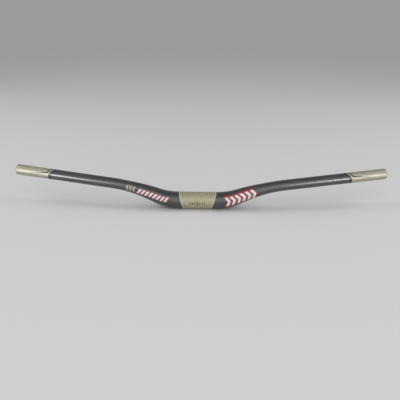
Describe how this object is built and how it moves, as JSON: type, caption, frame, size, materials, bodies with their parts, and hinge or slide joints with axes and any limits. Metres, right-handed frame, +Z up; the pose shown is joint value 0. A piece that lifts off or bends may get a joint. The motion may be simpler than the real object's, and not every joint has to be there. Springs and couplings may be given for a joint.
{
  "type": "riser handlebar",
  "caption": "Wide mountain bike riser handlebar: a hollow moulded carbon tube with a fat straight clamp zone, tapered upward bends and slim swept-back grip ends.",
  "frame": {"origin": "middle of the clamp zone, on the clamp axis", "axes": "+X along the clamp axis, +Y back towards the rider, +Z up, with the bar rolled as it is fitted. In names, right is the +X side, as seen from in front of the bike, which is the rider's left"},
  "size_m": [0.7798, 0.0726, 0.0765],
  "materials": {
    "carbon": "satin clear-coated unidirectional carbon laminate, painted pale gold at the clamp zone and ends"
  },
  "bodies": {
    "root": {"handlebar": "carbon"}
  },
  "joints": []
}
